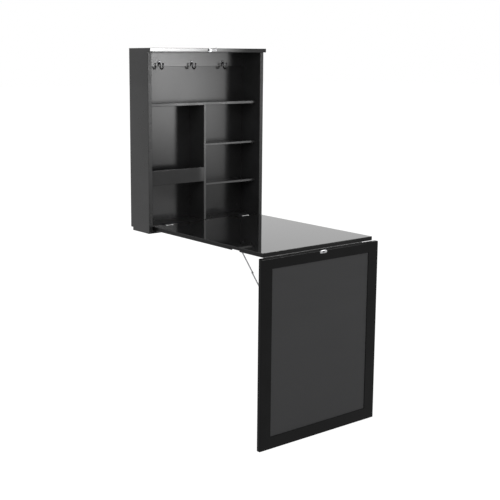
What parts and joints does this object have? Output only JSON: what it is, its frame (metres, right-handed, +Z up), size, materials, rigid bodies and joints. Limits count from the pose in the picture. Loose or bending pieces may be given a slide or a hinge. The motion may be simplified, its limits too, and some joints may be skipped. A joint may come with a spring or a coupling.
{
  "type": "fold down wall desk",
  "caption": "Wall desk: a shallow shelf cabinet whose hinged flap folds down onto a folding framed chalkboard leg panel, with coat hooks, folding stays and a turn catch.",
  "frame": {"origin": "the middle of the four wall fixings, on the wall plane", "axes": "+X to the right along the wall, +Y into the wall, +Z up; the flap opens towards -Y"},
  "size_m": [0.6, 0.8343, 1.451],
  "materials": {
    "black_lacquer": "gloss",
    "black_board": "matte",
    "chalkboard": "matte",
    "beech": "matte",
    "chrome": "polished",
    "black_nickel": "gloss",
    "hinge_steel": "satin",
    "stay_steel": "satin",
    "screw_steel": "satin"
  },
  "bodies": {
    "cabinet": {"back_panel": "black_lacquer", "board_dowels": "beech", "cabinet_hinge_screws": "screw_steel", "catch_plate": "chrome", "coat_hook_studs": "screw_steel", "desk_ledge": "black_lacquer", "divider": "black_lacquer", "floor_board": "black_lacquer", "hook_rail": "black_lacquer", "left_coat_hook": "black_nickel", "left_hinge_cabinet_leaf": "hinge_steel", "left_hinge_pin": "hinge_steel", "left_side_panel": "black_lacquer", "long_shelf": "black_lacquer", "lower_short_shelf": "black_lacquer", "lower_wall_rail": "black_board", "middle_coat_hook": "black_nickel", "retaining_bar": "black_lacquer", "right_coat_hook": "black_nickel", "right_hinge_cabinet_leaf": "hinge_steel", "right_hinge_pin": "hinge_steel", "right_side_panel": "black_lacquer", "shelf_pins": "screw_steel", "small_dowels": "beech", "top_board": "black_lacquer", "upper_short_shelf": "black_lacquer", "upper_wall_rail": "black_board"},
    "desk": {"desk_hinge_screws": "screw_steel", "desk_top": "black_lacquer", "left_hinge_desk_leaf": "hinge_steel", "left_stay_desk_bracket": "stay_steel", "left_stay_desk_rivet": "screw_steel", "leg_hinge_desk_leaf": "stay_steel", "leg_hinge_desk_screws": "screw_steel", "leg_hinge_pin": "screw_steel", "right_hinge_desk_leaf": "hinge_steel", "right_stay_desk_bracket": "stay_steel", "right_stay_desk_rivet": "screw_steel"},
    "leg": {"chalkboard": "chalkboard", "keeper": "chrome", "keeper_screws": "screw_steel", "left_stay_leg_bracket": "stay_steel", "left_stay_leg_rivet": "screw_steel", "left_stile": "black_lacquer", "leg_bottom_rail": "black_lacquer", "leg_hinge_leg_leaf": "stay_steel", "leg_hinge_leg_screws": "screw_steel", "leg_top_rail": "black_lacquer", "right_stay_leg_bracket": "stay_steel", "right_stay_leg_rivet": "screw_steel", "right_stile": "black_lacquer"},
    "left_upper_arm": {"left_stay_upper_arm": "stay_steel"},
    "left_lower_arm": {"left_stay_lower_arm": "stay_steel"},
    "right_upper_arm": {"right_stay_upper_arm": "stay_steel"},
    "right_lower_arm": {"right_stay_lower_arm": "stay_steel"},
    "catch": {"catch_arm": "chrome"}
  },
  "joints": [
    {"name": "desk_fold", "type": "hinge", "parent": "cabinet", "child": "desk", "pos_m": [0, -0.118, -0.3505], "axis": [-1, 0, 0], "range_deg": [0, 90]},
    {"name": "leg_fold", "type": "hinge", "parent": "desk", "child": "leg", "pos_m": [0, -0.816, -0.3678], "axis": [1, 0, 0], "range_deg": [0, 90]},
    {"name": "left_upper_arm_turn", "type": "hinge", "parent": "desk", "child": "left_upper_arm", "pos_m": [-0.2674, -0.688, -0.3645], "axis": [1, 0, 0], "range_deg": [0, 132.67]},
    {"name": "left_lower_arm_turn", "type": "hinge", "parent": "leg", "child": "left_lower_arm", "pos_m": [-0.2697, -0.8127, -0.4998], "axis": [-1, 0, 0], "range_deg": [0, 137.33]},
    {"name": "right_upper_arm_turn", "type": "hinge", "parent": "desk", "child": "right_upper_arm", "pos_m": [0.2674, -0.688, -0.3645], "axis": [1, 0, 0], "range_deg": [0, 132.67]},
    {"name": "right_lower_arm_turn", "type": "hinge", "parent": "leg", "child": "right_lower_arm", "pos_m": [0.2697, -0.8127, -0.4998], "axis": [-1, 0, 0], "range_deg": [0, 137.33]},
    {"name": "catch_turn", "type": "hinge", "parent": "cabinet", "child": "catch", "pos_m": [-0.005, -0.152, 0.3585], "axis": [0, 1, 0], "range_deg": [0, 90]}
  ],
  "couplings": [
    {"joint": "leg_fold", "follows": "desk_fold", "ratio": 1},
    {"joint": "left_upper_arm_turn", "follows": "desk_fold", "ratio": 1.4741},
    {"joint": "left_lower_arm_turn", "follows": "desk_fold", "ratio": 1.5259},
    {"joint": "right_upper_arm_turn", "follows": "desk_fold", "ratio": 1.4741},
    {"joint": "right_lower_arm_turn", "follows": "desk_fold", "ratio": 1.5259}
  ]
}
